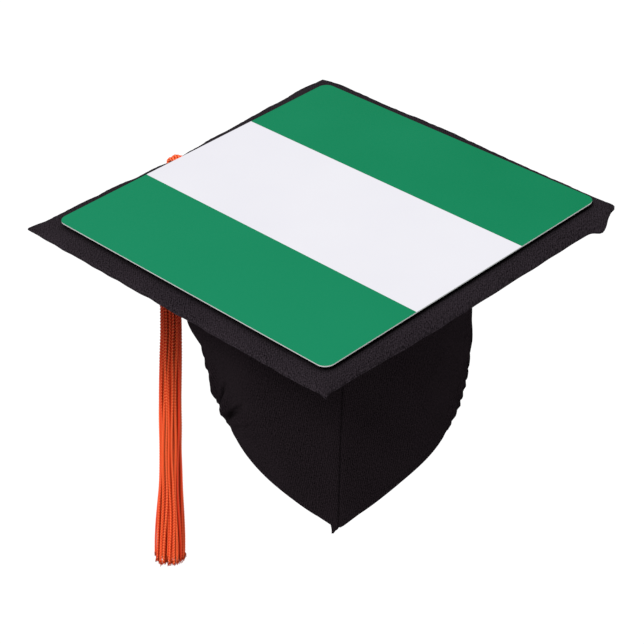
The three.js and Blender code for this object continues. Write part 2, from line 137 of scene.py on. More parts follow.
class Paint:
    """A node material: a Principled shader with helpers for the nodes in front of it."""

    def __init__(self, name):
        self.material = bpy.data.materials.new(name)
        self.material.use_nodes = True
        self.tree = self.material.node_tree
        self.shader = next(n for n in self.tree.nodes if n.type == "BSDF_PRINCIPLED")

    def node(self, kind, inputs=None, **settings):
        made = self.tree.nodes.new(kind)
        for key, value in settings.items():
            setattr(made, key, value)
        for key, value in (inputs or {}).items():
            self.put(made.inputs[key], value)
        return made

    def put(self, socket, value):
        if isinstance(value, bpy.types.NodeSocket):
            self.tree.links.new(value, socket)
        else:
            socket.default_value = value

    def set(self, **values):
        for key, value in values.items():
            self.put(self.shader.inputs[key.replace("_", " ")], value)

    def math(self, operation, a, b=0.0):
        return self.node("ShaderNodeMath", {0: a, 1: b}, operation=operation).outputs[0]

    def add(self, a, b):
        return self.math("ADD", a, b)

    def times(self, a, b):
        return self.math("MULTIPLY", a, b)

    def openness(self, distance):
        """How open a point is to the light: 0 deep in a crease, 1 on an open surface. The materials paint
        shade into creases with it.
        """
        return self.node("ShaderNodeAmbientOcclusion", {"Distance": distance}, samples=8).outputs["AO"]

    def noise(self, vector, scale, detail=2.0, roughness=0.5):
        inputs = {"Vector": vector, "Scale": scale, "Detail": detail, "Roughness": roughness}
        return self.node("ShaderNodeTexNoise", inputs).outputs["Fac"]

    def cells(self, scale):
        """The distance from the nearest of many scattered points."""
        return self.node("ShaderNodeTexVoronoi", {"Vector": self.place(), "Scale": scale}).outputs["Distance"]

    def remap(self, value, low, high, to_low=0.0, to_high=1.0, smooth=False):
        inputs = {"Value": value, "From Min": low, "From Max": high, "To Min": to_low, "To Max": to_high}
        kind = "SMOOTHSTEP" if smooth else "LINEAR"
        return self.node("ShaderNodeMapRange", inputs, interpolation_type=kind).outputs[0]

    def mix(self, factor, a, b):
        """Mixes two colours; a Mix node's colour sockets are numbers 6 and 7 in, and 2 out."""
        return self.node("ShaderNodeMix", {0: factor, 6: a, 7: b}, data_type="RGBA").outputs[2]

    def dot(self, vector, direction):
        inputs = {0: vector, 1: direction}
        return self.node("ShaderNodeVectorMath", inputs, operation="DOT_PRODUCT").outputs["Value"]

    def wave(self, distance, pitch):
        """A sine of that pitch, from -1 to 1."""
        return self.math("SINE", self.times(distance, 2 * math.pi / pitch))

    def ribs(self, where, direction, pitch):
        return self.wave(self.dot(where, direction), pitch)

    def weave(self, where, warp, weft, pitch):
        """Two sets of yarns that cross, from -1 to 1."""
        return self.times(self.ribs(where, warp, pitch), self.ribs(where, weft, pitch))

    def bump(self, height, strength, distance):
        inputs = {"Height": height, "Strength": strength, "Distance": distance}
        return self.node("ShaderNodeBump", inputs).outputs["Normal"]

    def place(self):
        """Where the point is in the frame's axes, in metres."""
        return self.node("ShaderNodeTexCoord").outputs["Object"]

    def cloth(self):
        """The UV map: metres along and across the cloth."""
        return self.node("ShaderNodeTexCoord").outputs["UV"]

    def attribute(self, name):
        return self.node("ShaderNodeAttribute", attribute_name=name).outputs["Fac"]

    def two_tone(self, share, dark, light, relief=None, **values):
        """The finished material: dark to light by share, with relief as a bump's height, strength
        and distance."""
        self.set(Base_Color=self.mix(share, dark, light), **values)
        if relief:
            self.set(Normal=self.bump(*relief))
        return self.material


def rgb(red, green, blue):
    """A linear colour from the usual 0 to 255 values."""
    def linear(value):
        value /= 255
        return value / 12.92 if value <= 0.04045 else ((value + 0.055) / 1.055) ** 2.4
    return (linear(red), linear(green), linear(blue), 1.0)


def twill(name, colour, light, across, sheen, ribbing=0.5, graining=0.8):
    """Black ribbed cloth: ribs at right angles to across, broken by the yarns, with lint and wear, and
    painted shade in its creases.
    """
    paint = Paint(name)
    where = paint.cloth()
    wobble = paint.times(paint.noise(where, 420.0), 1.6 * MM)
    ribs = paint.wave(paint.add(paint.dot(where, (*across, 0)), wobble), 1.25 * MM)
    along = paint.dot(where, (-across[1], across[0], 0))
    yarns = paint.wave(paint.add(along, paint.times(ribs, 0.15 * MM)), 0.7 * MM)
    grain = paint.remap(paint.noise(where, 980.0, 2.0, 0.6), 0.3, 0.7, -1.0, 1.0)
    lint = paint.noise(where, 2600.0, 3.0, 0.7)
    height = paint.add(paint.times(ribs, ribbing), paint.times(yarns, 0.25))
    height = paint.add(height, paint.times(grain, graining))
    patches = paint.noise(paint.place(), 22.0, 4.0, 0.6)
    body = paint.mix(paint.remap(height, -1.1, 1.2), colour, light)
    body = paint.mix(paint.remap(patches, 0.35, 0.75, 0.0, 0.3), body, light)
    # painted shade: the cloth darkens to black in its creases, by ambient occlusion
    painted_crease_shade = paint.remap(paint.openness(6 * MM), 0.35, 0.85)
    paint.set(Sheen_Weight=sheen, Sheen_Roughness=0.5, Sheen_Tint=rgb(190, 178, 188), Specular_IOR_Level=0.0)
    return paint.two_tone(painted_crease_shade, rgb(0, 0, 0), body, (height, 0.8, 0.3 * MM),
                          Roughness=paint.remap(lint, 0.3, 0.7, 0.82, 0.97))


def card_print(name):
    """The printed card: green, white and green bands, and a pale core where it was cut."""
    paint = Paint(name)
    where = paint.place()
    # distance from the near left edge, as a share of the card's side
    share = paint.add(paint.math("DIVIDE", paint.dot(where, (0.7071, 0.7071, 0)), 2 * CARD_HALF), 0.5)
    middle = paint.times(paint.math("GREATER_THAN", share, 0.31), paint.math("LESS_THAN", share, 0.70))
    mottle = paint.noise(where, 900.0, 3.0)
    cloudy = paint.noise(where, 14.0)
    green = paint.mix(paint.remap(share, 0.0, 1.0), rgb(14, 134, 92), rgb(2, 126, 82))
    green = paint.mix(paint.remap(cloudy, 0.3, 0.7, 0.0, 0.25), green, rgb(20, 138, 96))
    white = paint.mix(paint.remap(cloudy, 0.3, 0.7), rgb(232, 231, 237), rgb(229, 228, 235))
    normal = paint.node("ShaderNodeTexCoord").outputs["Normal"]
    cut = paint.remap(paint.node("ShaderNodeSeparateXYZ", {0: normal}).outputs["Z"], 0.75, 0.35)
    fibre = paint.mix(paint.noise(where, 3000.0), rgb(176, 178, 178), rgb(216, 218, 217))
    return paint.two_tone(cut, paint.mix(middle, green, white), fibre, (mottle, 0.12, 0.05 * MM),
                          Roughness=paint.remap(mottle, 0.3, 0.7, 0.5, 0.6), Specular_IOR_Level=0.12)


def rayon(name, packed=False):
    """Orange rayon: the strand attribute shifts each strand's tone, and its darker strands are painted shade
    for strands lying in shadow; the dips run dark red, painted shade, and the raised stitches get a painted
    highlight.
    packed makes the upper end of each strand darker: painted shade, as the tassel's upper part hangs in
    shadow."""
    paint = Paint(name)
    strand = paint.attribute("strand")
    relief = paint.attribute("relief")
    where = paint.cloth()
    filament = paint.noise(where, 3500.0, 2.0, 0.6)
    # painted shade: the knit's dips run to this dark red, and the darker strands stand for strands in shadow
    deep = paint.mix(strand, rgb(172, 0, 0), rgb(226, 4, 0))
    bright = paint.mix(paint.remap(strand, 0.0, 0.45), rgb(232, 34, 8), rgb(255, 112, 56))
    raised = paint.remap(relief, 0.15, 0.66, smooth=True)
    # painted shade: the gaps between strands and stitches are darkened by ambient occlusion
    painted_crease_shade = paint.remap(paint.openness(1.6 * MM), 0.25, 0.75)
    body = paint.mix(paint.times(raised, painted_crease_shade), deep, bright)
    # painted highlight on the tops of the raised stitches
    painted_highlight = paint.times(paint.remap(relief, 0.6, 1.0), paint.remap(filament, 0.4, 0.65, 0.2, 1.0))
    body = paint.mix(painted_highlight, body, rgb(255, 164, 116))
    if packed:
        # painted shade: the strands' upper ends run dark red
        along = paint.node("ShaderNodeSeparateXYZ", {0: where}).outputs["X"]
        body = paint.mix(paint.remap(along, 0.03, 0.12, 0.72, 0.0, smooth=True), body, rgb(104, 0, 0))
    paint.set(Base_Color=body, Roughness=paint.remap(filament, 0.3, 0.7, 0.4, 0.6))
    paint.set(Sheen_Weight=0.5, Sheen_Roughness=0.5, Sheen_Tint=rgb(255, 84, 30), Specular_IOR_Level=0.05)
    paint.set(Normal=paint.bump(filament, 0.3, 0.12 * MM))
    return paint.material


# One cloth in two copies: the board's is painted lighter and the crown's darker, painted light and shade for
# how the light falls on the board's edge and on the crown below it.
TWILL = twill("black_twill", rgb(0, 0, 0), rgb(39, 32, 36), (0.985, 0.17), sheen=0.02)
TWILL_BOARD_PAINTED_LIGHTER = twill("black_twill_board_painted_lighter", rgb(1, 0, 1), rgb(58, 51, 57), (0.7071, -0.7071), sheen=0.03,
                    ribbing=0.35, graining=1.1)
CARD = card_print("card_print")
RAYON = rayon("orange_rayon")
# the fringe's strands get painted shade at their upper ends
RAYON_FRINGE = rayon("orange_rayon_fringe", packed=True)

# thin black lining: a fine plain weave with a soft shine
paint = Paint("black_lining")
height = paint.weave(paint.cloth(), (1, 0, 0), (0, 1, 0), 0.45 * MM)
slub = paint.remap(paint.noise(paint.cloth(), 500.0, 3.0), 0.3, 0.7)
LINING = paint.two_tone(slub, rgb(16, 14, 16), rgb(31, 28, 31), (height, 0.35, 0.1 * MM),
                        Roughness=paint.remap(height, -1, 1, 0.66, 0.54), Specular_IOR_Level=0.2)

paint = Paint("pressed_board")
fibre = paint.noise(paint.place(), 700.0, 5.0, 0.7)
CORE_BOARD = paint.two_tone(fibre, rgb(120, 112, 98), rgb(165, 156, 138), (fibre, 0.3, 0.2 * MM),
                            Roughness=0.9)

paint = Paint("white_foam")
cells = paint.cells(1400.0)
FOAM = paint.two_tone(cells, rgb(214, 210, 198), rgb(238, 236, 228), (cells, 0.5, 0.3 * MM), Roughness=0.95)

paint = Paint("stiff_canvas")
height = paint.weave(paint.place(), (0.8, 0.6, 0), (0, 0, 1), 1.1 * MM)
slub = paint.noise(paint.place(), 300.0, 3.0)
CANVAS = paint.two_tone(slub, rgb(24, 23, 25), rgb(44, 42, 45), (height, 0.5, 0.25 * MM), Roughness=0.9)

paint = Paint("zinc_steel")
brushed = paint.noise(paint.place(), 1200.0, 4.0, 0.7)
STEEL = paint.two_tone(brushed, rgb(84, 85, 88), rgb(118, 119, 122), Metallic=1.0,
                       Roughness=paint.remap(brushed, 0.3, 0.7, 0.3, 0.48))

paint = Paint("hook_loop_pile")
tufts = paint.cells(1100.0)
PILE = paint.two_tone(tufts, rgb(10, 10, 10), rgb(34, 34, 35), (tufts, 0.9, 0.5 * MM), Roughness=0.9,
                      Sheen_Weight=0.4)

paint = Paint("black_thread")
ply = paint.ribs(paint.cloth(), (0.8, 0.6, 0), 0.35 * MM)
THREAD = paint.two_tone(paint.remap(ply, -1, 1), rgb(6, 5, 6), rgb(24, 22, 25), Roughness=0.9,
                        Specular_IOR_Level=0.05)

paint = Paint("woven_elastic")
rib = paint.ribs(paint.place(), (0.6, 0.8, 0), 0.9 * MM)
ELASTIC = paint.two_tone(paint.remap(rib, -1, 1), rgb(12, 12, 13), rgb(38, 38, 41), (rib, 0.7, 0.3 * MM),
                         Roughness=0.8)

# the twill drawn tight over the button looks like a plain weave from above
paint = Paint("button_twill")
height = paint.weave(paint.place(), (0.7071, -0.7071, 0), (0.7071, 0.7071, 0), 0.9 * MM)
BUTTON_CLOTH = paint.two_tone(paint.remap(height, -1, 1), rgb(8, 6, 8), rgb(38, 32, 37),
                              (height, 0.6, 0.2 * MM), Roughness=0.9, Specular_IOR_Level=0.08)


# ---------- mesh building ----------

class Cloth:
    """Collects grids and tubes into one mesh, with UVs in metres and a few point attributes."""

    def __init__(self):
        self.points, self.faces, self.uvs = [], [], []
        self.strands, self.reliefs = [], []
        self.count = 0

    def grid(self, points, uv=None, wrap=False, strand=0.5, relief=None, flip=False):
        """points is rows by columns by 3; wrap joins the last column to the first."""
        rows, columns = points.shape[:2]
        quads = grid_faces(rows, columns, wrap) + self.count
        self.faces.extend((quads[:, ::-1] if flip else quads).tolist())
        self.points.append(points.reshape(-1, 3))
        self.uvs.append(np.zeros((rows * columns, 2)) if uv is None else uv.reshape(-1, 2))
        self.strands.append(np.full(rows * columns, strand))
        self.reliefs.append(np.full(rows * columns, 0.5) if relief is None else relief.reshape(-1))
        self.count += rows * columns

    def cap(self, row_start, columns, flip=False):
        """Closes the ring of that many points, from that point number on."""
        ring = list(range(row_start, row_start + columns))
        self.faces.append(ring[::-1] if flip else ring)

    def tube(self, path, radius, sides, strand=0.5):
        """A closed tube along path. radius is a number, or a function of the distance along
        the path and the angle round it, as arrays."""
        path = np.asarray(path, float)
        normals, binormals = carry_frame(path)
        s, a = lattice(distance_along(path), np.arange(sides) * 2 * np.pi / sides)
        r = radius(s, a) if callable(radius) else np.full_like(s, radius)
        low, top = r.min(), r.max()
        around = np.cos(a)[..., None] * normals[:, None] + np.sin(a)[..., None] * binormals[:, None]
        points = path[:, None] + around * r[..., None]
        relief = (r - low) / (top - low) if top - low > 1e-9 else np.full_like(r, 0.6)
        first = self.count
        self.grid(points, np.stack([s, a * top], -1), wrap=True, strand=strand, relief=relief)
        self.cap(first, sides)
        self.cap(self.count - sides, sides, flip=True)

    def piece(self, name, material):
        mesh = bpy.data.meshes.new(name)
        mesh.from_pydata(np.concatenate(self.points).tolist(), [], self.faces)
        uv = np.concatenate(self.uvs)
        layer = mesh.uv_layers.new(name="cloth")
        corner = np.empty(len(mesh.loops), np.int32)
        mesh.loops.foreach_get("vertex_index", corner)
        layer.data.foreach_set("uv", uv[corner].astype(np.float32).ravel())
        for label, values in (("strand", self.strands), ("relief", self.reliefs)):
            attribute = mesh.attributes.new(label, "FLOAT", "POINT")
            attribute.data.foreach_set("value", np.concatenate(values).astype(np.float32))
        mesh.materials.append(material)
        mesh.shade_smooth()
        return new_object(name, mesh)


def grid_faces(rows, columns, wrap=False):
    """The quads of a grid of points, as point numbers."""
    row, column = lattice(np.arange(rows - 1), np.arange(columns if wrap else columns - 1))
    near, after = row * columns, (column + 1) % columns
    far = near + columns
    return np.stack([near + column, near + after, far + after, far + column], -1).reshape(-1, 4)


def attach(piece, body, slot, *nodes):
    """Lets a piece move with a body and stand for those nodes. slot is not used."""
    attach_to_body(piece, body)
    if nodes:
        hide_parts(*nodes)


def lattice(down, across):
    """Two arrays, one value of each for every row and column."""
    return np.meshgrid(down, across, indexing="ij")


def step_lengths(path):
    return np.linalg.norm(np.diff(path, axis=0), axis=1)


def distance_along(path):
    return np.concatenate([[0], np.cumsum(step_lengths(path))])


def carry_frame(path):
    """Two directions across a path that don't twist along the way."""
    along = np.gradient(path, axis=0)
    along /= np.linalg.norm(along, axis=1)[:, None]
    normals = np.empty_like(path)
    start = np.cross(along[0], (0.3, 0.5, 0.81))
    normals[0] = start / np.linalg.norm(start)
    for i in range(1, len(path)):
        carried = normals[i - 1] - along[i] * (normals[i - 1] @ along[i])
        normals[i] = carried / np.linalg.norm(carried)
    return normals, np.cross(along, normals)


def spline(points, spacing, closed=False):
    """A centripetal Catmull-Rom curve through the points, resampled at an even spacing."""
    points = np.asarray(points, float)
    if closed:
        padded = np.concatenate([points[-1:], points, points[:2]])
    else:
        padded = np.concatenate([2 * points[:1] - points[1:2], points, 2 * points[-1:] - points[-2:-1]])
    dense = []
    spans = (((0, 1), (1, 2), (2, 3)), ((0, 2), (1, 3)), ((1, 2),))
    for four in zip(padded, padded[1:], padded[2:], padded[3:]):
        knots = np.cumsum([0] + [np.linalg.norm(b - a) ** 0.5 for a, b in zip(four, four[1:])])
        t = np.linspace(knots[1], knots[2], 24, endpoint=False)[:, None]
        level = four
        for row in spans:
            ends = [(knots[low], knots[high]) for low, high in row]
            level = [(high - t) / (high - low) * a + (t - low) / (high - low) * b
                     for (low, high), a, b in zip(ends, level, level[1:])]
        dense.append(level[0])
    dense = np.concatenate([*dense, padded[-2:-1] if not closed else points[:1]])
    return resample(dense, spacing)


def resample(path, spacing):
    distance = distance_along(path)
    steps = max(2, round(distance[-1] / spacing))
    even = np.linspace(0, distance[-1], steps + 1)
    return np.stack([np.interp(even, distance, path[:, k]) for k in range(3)], -1)


def ramp(value, low, high):
    """A smooth rise, from 0 at low to 1 at high."""
    t = np.clip((value - low) / (high - low), 0, 1)
    return t * t * (3 - 2 * t)


def bell(value, width):
    """1 at zero, and falling off smoothly on both sides."""
    return np.exp(-(value / width) ** 2)


def ripple(count, seed):
    """A smooth random function of a value from 0 to 1, made of a few sines."""
    own = np.random.default_rng(seed)
    waves = own.uniform(0.5, 1.5, 5) * count * np.array([0.5, 0.8, 1.0, 1.35, 1.9])
    phases = own.uniform(0, 2 * np.pi, 5)
    weights = own.uniform(0.4, 1.0, 5)
    weights /= weights.sum()

    def of(value):
        value = np.asarray(value, float)[..., None]
        return (np.sin(2 * np.pi * waves * value + phases) * weights).sum(-1)
    return of


# ---------- the cord ----------

CORD_SPREAD = 2.0 * MM  # half the distance between the two runs
CORD_BEND = 4.0 * MM  # radius of the bend over the board's edge
CORD_DIP_REACH = 22 * MM
CORD_PLIES = 3
PLY_PITCH = 8.5 * MM
CORD_Z = BOARD_TOP + CORD_DIAMETER / 2 + 0.1 * MM
BUTTON_RADIUS = (BUTTON_HIGH[0] - BUTTON_LOW[0]) / 2
LOOP_RADIUS = BUTTON_RADIUS + CORD_DIAMETER / 2 + 0.3 * MM


def cord_dip(depth):
    """How far the cord sinks into the padding, at a distance from the board's edge. It can't go
    below the stiff core, which ends about 6.5 mm in from the edge there."""
    into_padding = 1.5 * MM * (1 - ramp(depth, 10 * MM, CORD_DIP_REACH))
    past_core = 0.9 * MM * (1 - ramp(depth, 3 * MM, 6.5 * MM))
    return into_padding + past_core


def cord_run(hand):
    """One of the cord's two runs, from inside the tassel's head over the board's edge to the button."""
    reach = PIVOT @ OUT
    side = np.cross(UP, OUT) * hand

    def over(x, y, z):
        return OUT * x + side * y + UP * (z - cord_dip(reach - x))

    run = [
        HEAD_TOP + side * 0.9 * MM + DOWN * 1.2 * MM,
        HEAD_TOP + side * 1.6 * MM - DOWN * 3 * MM,
        HEAD_TOP + side * 1.9 * MM - DOWN * 16 * MM,
        PIVOT + side * CORD_SPREAD + DOWN * 0.45 * DROP_LENGTH,
        PIVOT + side * CORD_SPREAD + DOWN * 12 * MM,
    ]
    for degrees in range(90, -1, -15):
        angle = math.radians(degrees)
        drop = CORD_BEND * (1 - math.cos(angle))
        run.append(over(reach - CORD_BEND + CORD_BEND * math.sin(angle), CORD_SPREAD, CORD_Z - drop))
    steps = [(95, 0.0), (70, 0.3), (45, 0.9), (24, 3.6), (11, (LOOP_RADIUS - CORD_SPREAD) / MM - 1.6)]
    run += [over(x * MM, CORD_SPREAD + y * MM, CORD_Z) for x, y in steps]
    run.append(over(0, LOOP_RADIUS, CORD_Z))
    return run


def cord_route():
    """Up one run from the tassel's head, round the button and back down the other."""
    side = np.cross(UP, OUT)
    turn = [OUT * LOOP_RADIUS * math.cos(a) + side * LOOP_RADIUS * math.sin(a) + UP * CORD_Z
            for a in np.radians([135, 180, 225])]
    return spline(cord_run(1) + turn + cord_run(-1)[::-1], 0.5 * MM)


def make_cord():
    """A three-ply twisted cord."""
    route = cord_route()

    def twisted(s, a):
        lobes = np.abs(np.cos(CORD_PLIES / 2 * (a - 2 * np.pi * s / PLY_PITCH)))
        return CORD_DIAMETER / 2 * (0.80 + 0.22 * lobes)

    mesh = Cloth()
    mesh.tube(route, twisted, sides=24, strand=0.35)
    cord = mesh.piece("tassel_cord", RAYON)
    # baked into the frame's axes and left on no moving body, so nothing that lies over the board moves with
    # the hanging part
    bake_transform(cord)
    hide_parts("cord_loop", "cord_drop_1", "cord_drop_2")


make_cord()


# ---------- the tassel ----------

HEAD_LENGTH = 13 * MM
BINDING_LENGTH = 14 * MM
FRINGE_LENGTH = 228.6 * MM
STRAND_RADIUS = 0.97 * MM
HEAD_FOLDS = 18
FRAYS = 18  # loose filaments at each strand's end
FRAY_RADIUS = 0.24 * MM
STRAND_RINGS = (1, 5, 10, 15, 20)  # strands in the middle, and in each ring round it
KNIT_PITCH = 2.35 * MM

ACROSS = np.cross(DOWN, OUT)
ACROSS = ACROSS / np.linalg.norm(ACROSS)
OUTWARD = np.cross(ACROSS, DOWN)


def at_tassel(depth, x, y):
    """A point below the top of the tassel's head, x and y across the tassel. Arrays are taken too."""
    depth, x, y = np.broadcast_arrays(depth, x, y)
    return HEAD_TOP + depth[..., None] * DOWN + x[..., None] * ACROSS + y[..., None] * OUTWARD


def strand_radius(r0, phase, depth=0.26):
    """The radius of a chain-knitted strand: two columns of stitches that lean towards each other."""
    step = 2.7 * phase  # so that neighbours' stitches don't line up

    def knit(s, a):
        turn = np.mod(a + phase, 2 * np.pi)
        column = np.abs(np.abs(turn - np.pi) - np.pi / 2)
        stitch = np.cos(2 * np.pi * s / KNIT_PITCH + 2.9 * column + step)
        return r0 * (1.08 - depth + depth * stitch + 0.06 * np.cos(2 * turn))
    return knit


def fringe_swell(t):
    """The bundle's width as a share of its loosely packed width, at a share of the way down."""
    swell = 0.72 + 0.22 * ramp(t, 0.0, 0.05) + 0.16 * ramp(t, 0.1, 0.6)
    return swell + 0.2 * ramp(t, 0.7, 1.0)


def make_fringe():
    own = np.random.default_rng(21)
    mesh = Cloth()
    top = HEAD_LENGTH + BINDING_LENGTH * 0.6
    for ring, count in enumerate(STRAND_RINGS):
        for k in range(count):
            heading = 2 * np.pi * (k + own.normal(0, 0.06)) / count + 0.4 * ring
            away = (1.6 * ring + own.normal(0, 0.3)) * MM
            length = FRINGE_LENGTH + BINDING_LENGTH * 0.4 + np.clip(own.normal(-2.2, 1.6), -6, 1) * MM
            t = np.linspace(0, 1, 70)
            wander = 0.10 * np.sin(2 * np.pi * (own.uniform(0.6, 1.5) * t + own.uniform()))
            wander = heading + wander * ramp(t, 0.0, 0.2)
            splay = np.clip(own.normal(0.9, 0.8), -0.3, 2.2) * MM * ramp(t, 0.6, 1.0) * (ring / 4)
            bow = 0.30 * MM * np.sin(2 * np.pi * (own.uniform(1.5, 3.5) * t + own.uniform()))
            bow = bow * ramp(t, 0.05, 0.3)
            x = (away * fringe_swell(t) + splay) * np.cos(wander) + bow
            y = (away * fringe_swell(t) + splay) * np.sin(wander) - bow
            drift = 1.2 * ramp(t, 0.0, 0.2) + 0.9 * ramp(t, 0.4, 0.8)  # the bundle bows to +X
            line = at_tassel(top + t * length, x, y) + np.outer(drift, (MM, 0, 0))
            shows = ring > 2  # the inner rings are hidden, so they are plain tubes
            path = resample(line, 0.34 * MM if shows else 3 * MM)
            shade, size = own.uniform(0, 1), STRAND_RADIUS * own.uniform(0.86, 1.08)
            knit = strand_radius(size, own.uniform(0, 6), own.uniform(0.27, 0.36)) if shows else size
            mesh.tube(path, knit, sides=10 if shows else 6, strand=shade)
            fray(mesh, own, path, shade)
    return mesh.piece("tassel_fringe_strands", RAYON_FRINGE)


def fray(mesh, own, path, shade):
    """The loose filaments at a strand's cut end, a blunt brush."""
    tip, way = path[-1], path[-1] - path[-3]
    way = way / np.linalg.norm(way)
    for _ in range(FRAYS):
        spread = own.normal(0, 0.3, 3)
        length = own.uniform(0.0, 1.2) * MM
        t = np.linspace(0, 1, 6)[:, None]
        start = tip - way * 2.0 * MM + own.normal(0, 0.6, 3) * MM
        line = start + (way * t + spread * t ** 2 * 0.7) * (length + 2.0 * MM)
        mesh.tube(line, FRAY_RADIUS, sides=5, strand=min(1, shade + 0.2))


def add_core(mesh, depths, radii):
    """A plain core in the dark dip colour, painted shade, that closes the gaps between threads laid round it.
    """
    sides = 32
    depth, angle = lattice(depths, np.linspace(0, 2 * np.pi, sides + 1)[:-1])
    radius = np.broadcast_to(np.asarray(radii)[:, None], depth.shape)
    first = mesh.count
    points = at_tassel(depth, radius * np.cos(angle), radius * np.sin(angle))
    # a relief of zero gives it the dark dip colour: painted shade
    mesh.grid(points, wrap=True, strand=0.1, relief=np.zeros(depth.shape), flip=True)
    mesh.cap(first, sides, flip=True)
    mesh.cap(mesh.count - sides, sides)


def make_binding():
    """Thread wound round the neck, one turn beside the next."""
    mesh = Cloth()
    thread, radius = 0.70 * MM, 5.6 * MM
    turns = BINDING_LENGTH / (2 * thread)
    a = np.linspace(0, 2 * np.pi * turns, int(turns * 28))
    depth = HEAD_LENGTH + thread + (BINDING_LENGTH - 2 * thread) * a / a[-1]
    wobble = 0.08 * MM * np.sin(a * 0.37)
    helix = at_tassel(depth, (radius + wobble) * np.cos(a), (radius + wobble) * np.sin(a))
    mesh.tube(helix, thread, sides=12, strand=0.2)
    # painted shade: the relief attribute darkens the thread between the turns
    wound = mesh.points[-1] - HEAD_TOP
    from_axis = np.linalg.norm(wound - np.outer(wound @ DOWN, DOWN), axis=1)
    mesh.reliefs[-1] = 0.7 * np.clip((from_axis - radius) / thread, 0, 1)  # dark between the turns
    depths = HEAD_LENGTH + np.array([0.2, 4.5, 9.2, 13.8]) * MM
    add_core(mesh, depths, np.full(4, 5.4 * MM))
    return mesh.piece("tassel_neck_binding", RAYON)


def make_head():
    """The strands fold over the cord and run down under the binding."""
    mesh = Cloth()
    own = np.random.default_rng(5)
    for k in range(HEAD_FOLDS):
        heading = 2 * np.pi * k / HEAD_FOLDS + own.normal(0, 0.03)
        radii = np.array([1.9, 3.4, 4.9, 5.4, 5.2, 4.7]) * MM
        depths = np.array([1.2, 1.3, 3.3, 6.6, 10.2, 13.6]) * MM
        line = at_tassel(depths, radii * math.cos(heading), radii * math.sin(heading))
        path = spline(line, 0.4 * MM)
        mesh.tube(path, strand_radius(0.98 * MM, own.uniform(0, 6)), sides=10, strand=own.uniform(0, 1))
    add_core(mesh, np.array([1.4, 2.2, 4, 7, 10, 13]) * MM, np.array([1.5, 3.2, 4.4, 4.9, 4.8, 4.5]) * MM)
    return mesh.piece("tassel_head_folds", RAYON)


attach(make_fringe(), "tassel", "tassel", "tassel_fringe")
attach(make_binding(), "tassel", "tassel", "tassel_binding")
attach(make_head(), "tassel", "tassel", "tassel_head")


# ---------- the mortarboard ----------

COVER_OFFSET = np.array([-1.5, 2.2, 0]) * MM  # the cover sits a little off the card's centre
SEAM_RISE = 3.6 * MM  # the perimeter seam above the underside, and how much that varies
SEAM_TILT = 1.0 * MM
RIM_TOP = 6.5 * MM  # how far in from the edge each fabric levels out
RIM_UNDER = 13 * MM
RIM_BAND = 13 * MM  # the finely divided strip round the edge
CREST = 0.7 * MM  # how far the padding stands up beside the card
PAD_INSET = 0.9 * MM  # from the outside of the cover to the padding
COVER_THICKNESS = 0.5 * MM
PANEL_THICKNESS = 0.8 * MM
LINING_THICKNESS = 0.3 * MM
HALF_DIAGONAL = BOARD_HALF * math.sqrt(2)

# Where the fabric is pulled out of its square: the place as a share of the half diagonal, how far
# the pull reaches, and the move, both in millimetres.
PULLS = [
    ((-1.0, 0.0), 10, (-2.4, 0.0, 1.0)),  # the left corner is a thin lifted point
    ((0.0, -1.0), 8, (0.8, 1.4, 0.2)),  # the near corner is blunt
    ((0.0, -1.0), 3.2, (0.6, -1.4, -3.4)),  # and its seam ends in a small hanging nub
    ((1.0, 0.0), 9, (-2.6, 0.6, 2.6)),  # the right corner is tucked in
    ((1.0, 0.0), 2.6, (1.8, 0.2, 1.8)),  # with a sharp tip
    ((0.94, -0.075), 6.5, (1.8, -2.6, -3.6)),  # and droops beside the tuck
    ((0.0, 1.0), 7, (-1.0, -4.4, 1.6)),  # the far corner is blunt
    ((0.02, 0.90), 46, (0.0, 0.0, 2.4)),  # and lifted
    ((0.38, 0.52), 48, (0.0, 0.0, 2.4)),
    ((-0.55, 0.45), 40, (1.3, -1.3, -0.7)),  # the cord draws its edge in
]
THINNING = {(-1, 0): 0.7, (0, -1): 0.15, (1, 0): 0.25, (0, 1): 0.2}  # of the board, at each corner


def rim_places(inner, rim):
    """Places across the board from -1 to 1, close together in the band round its edge."""
    band = RIM_BAND / BOARD_HALF
    near = band * (1 - np.cos(np.linspace(0, np.pi / 2, rim, endpoint=False))) - 1
    return np.concatenate([near, np.linspace(-1 + band, 1 - band, inner), -near[::-1]])


def along_edges(a, b, count, seed):
    """A random wave along each of the four edges, with its own course on each."""
    beside = np.abs(a) > np.abs(b)
    place = np.where(beside, b, a) / BOARD_HALF / 2 + 0.5
    edge = np.where(beside, np.sign(a), 3 + np.sign(b))
    return sum(np.where(edge == k, ripple(count, seed + k)(place), 0) for k in (-1, 1, 2, 4))


